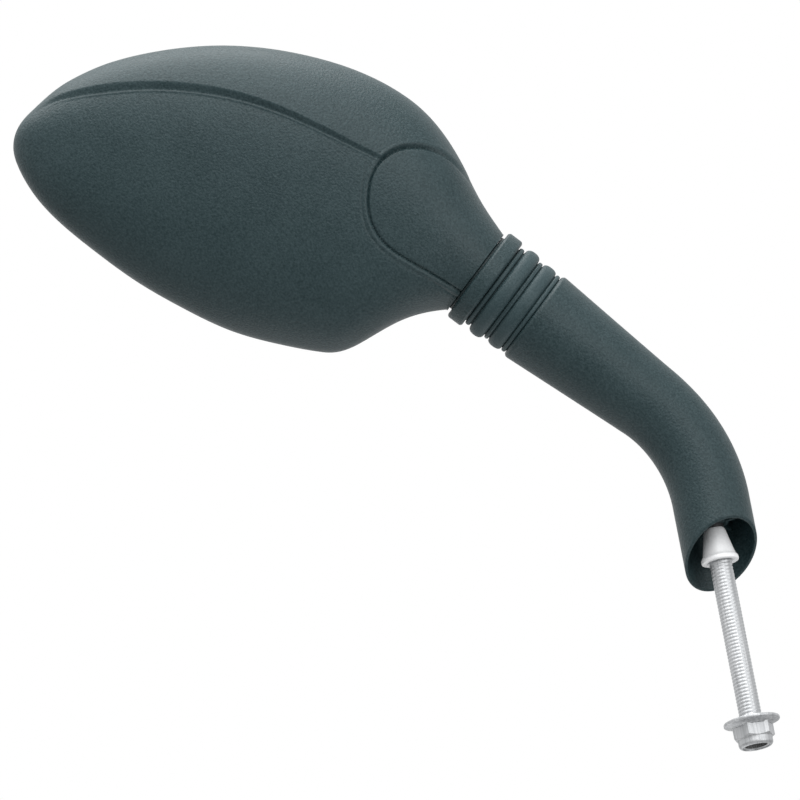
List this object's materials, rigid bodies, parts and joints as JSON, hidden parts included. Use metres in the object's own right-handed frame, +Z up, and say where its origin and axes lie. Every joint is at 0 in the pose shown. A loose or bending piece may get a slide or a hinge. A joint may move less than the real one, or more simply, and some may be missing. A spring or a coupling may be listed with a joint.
{
  "type": "scooter mirror",
  "caption": "Right-hand scooter rear-view mirror: egg-shaped black housing on a ball joint under ribbed bellows, bent hollow arm, threaded stud with flange lock nut.",
  "frame": {"origin": "on the stud's axis at the cone foot's lower face, where the stud leaves it", "axes": "+Z up the stud into the arm, the arm bends towards -X, the glass looks towards +Y"},
  "size_m": [0.2317, 0.0691, 0.28],
  "materials": {
    "black_plastic": "fine grain",
    "dark_plastic": "smooth moulded",
    "socket_plastic": "smooth moulded",
    "pale_plastic": "smooth moulded",
    "rubber": "moulded",
    "foam": "open cell",
    "mirror": "polished, silvered",
    "steel": "turned",
    "black_steel": "phosphated black",
    "zinc_steel": "bright zinc plate"
  },
  "bodies": {
    "arm": {"arm_sleeve": "black_plastic", "arm_core": "black_steel", "ball_end": "steel", "cone_foot": "zinc_steel", "stud": "zinc_steel"},
    "bellows": {"neck_bellows": "rubber"},
    "collar": {"neck_collar": "black_plastic"},
    "head": {"housing": "black_plastic", "mirror_glass": "mirror", "foam_pad": "foam", "glass_carrier": "dark_plastic", "socket_body": "socket_plastic", "friction_pad": "pale_plastic", "disc_springs": "steel", "spring_plug": "steel", "socket_screws": "zinc_steel"},
    "nut_ring": {"nylon_insert": "pale_plastic"},
    "nut": {"flange_nut": "zinc_steel"}
  },
  "joints": [
    {"name": "head_swing", "type": "hinge", "parent": "arm", "child": "bellows", "pos_m": [-0.05863, 0, 0.10597], "axis": [-0.2642, -0.9291, -0.2587], "range_deg": [-15, 15], "deforming": ["neck_bellows"]},
    {"name": "head_pan", "type": "hinge", "parent": "bellows", "child": "collar", "pos_m": [-0.05863, 0, 0.10597], "axis": [0.6638, -0.3697, 0.6501], "range_deg": [-15, 15], "deforming": ["neck_bellows"]},
    {"name": "head_twist", "type": "hinge", "parent": "collar", "child": "head", "pos_m": [-0.05863, 0, 0.10597], "axis": [-0.6997, 0, 0.7145], "range_deg": [-30, 30]},
    {"name": "nut_advance", "type": "slide", "parent": "arm", "child": "nut_ring", "axis": [0, 0, 1], "range_m": [-0.0051, 0.0501]},
    {"name": "nut_turn", "type": "hinge", "parent": "nut_ring", "child": "nut", "pos_m": [0, 0, -0.058], "axis": [0, 0, 1], "range_deg": [-1440, 14400]}
  ],
  "couplings": [
    {"joint": "nut_advance", "follows": "nut_turn", "m_per_rad": 0.00019894}
  ]
}
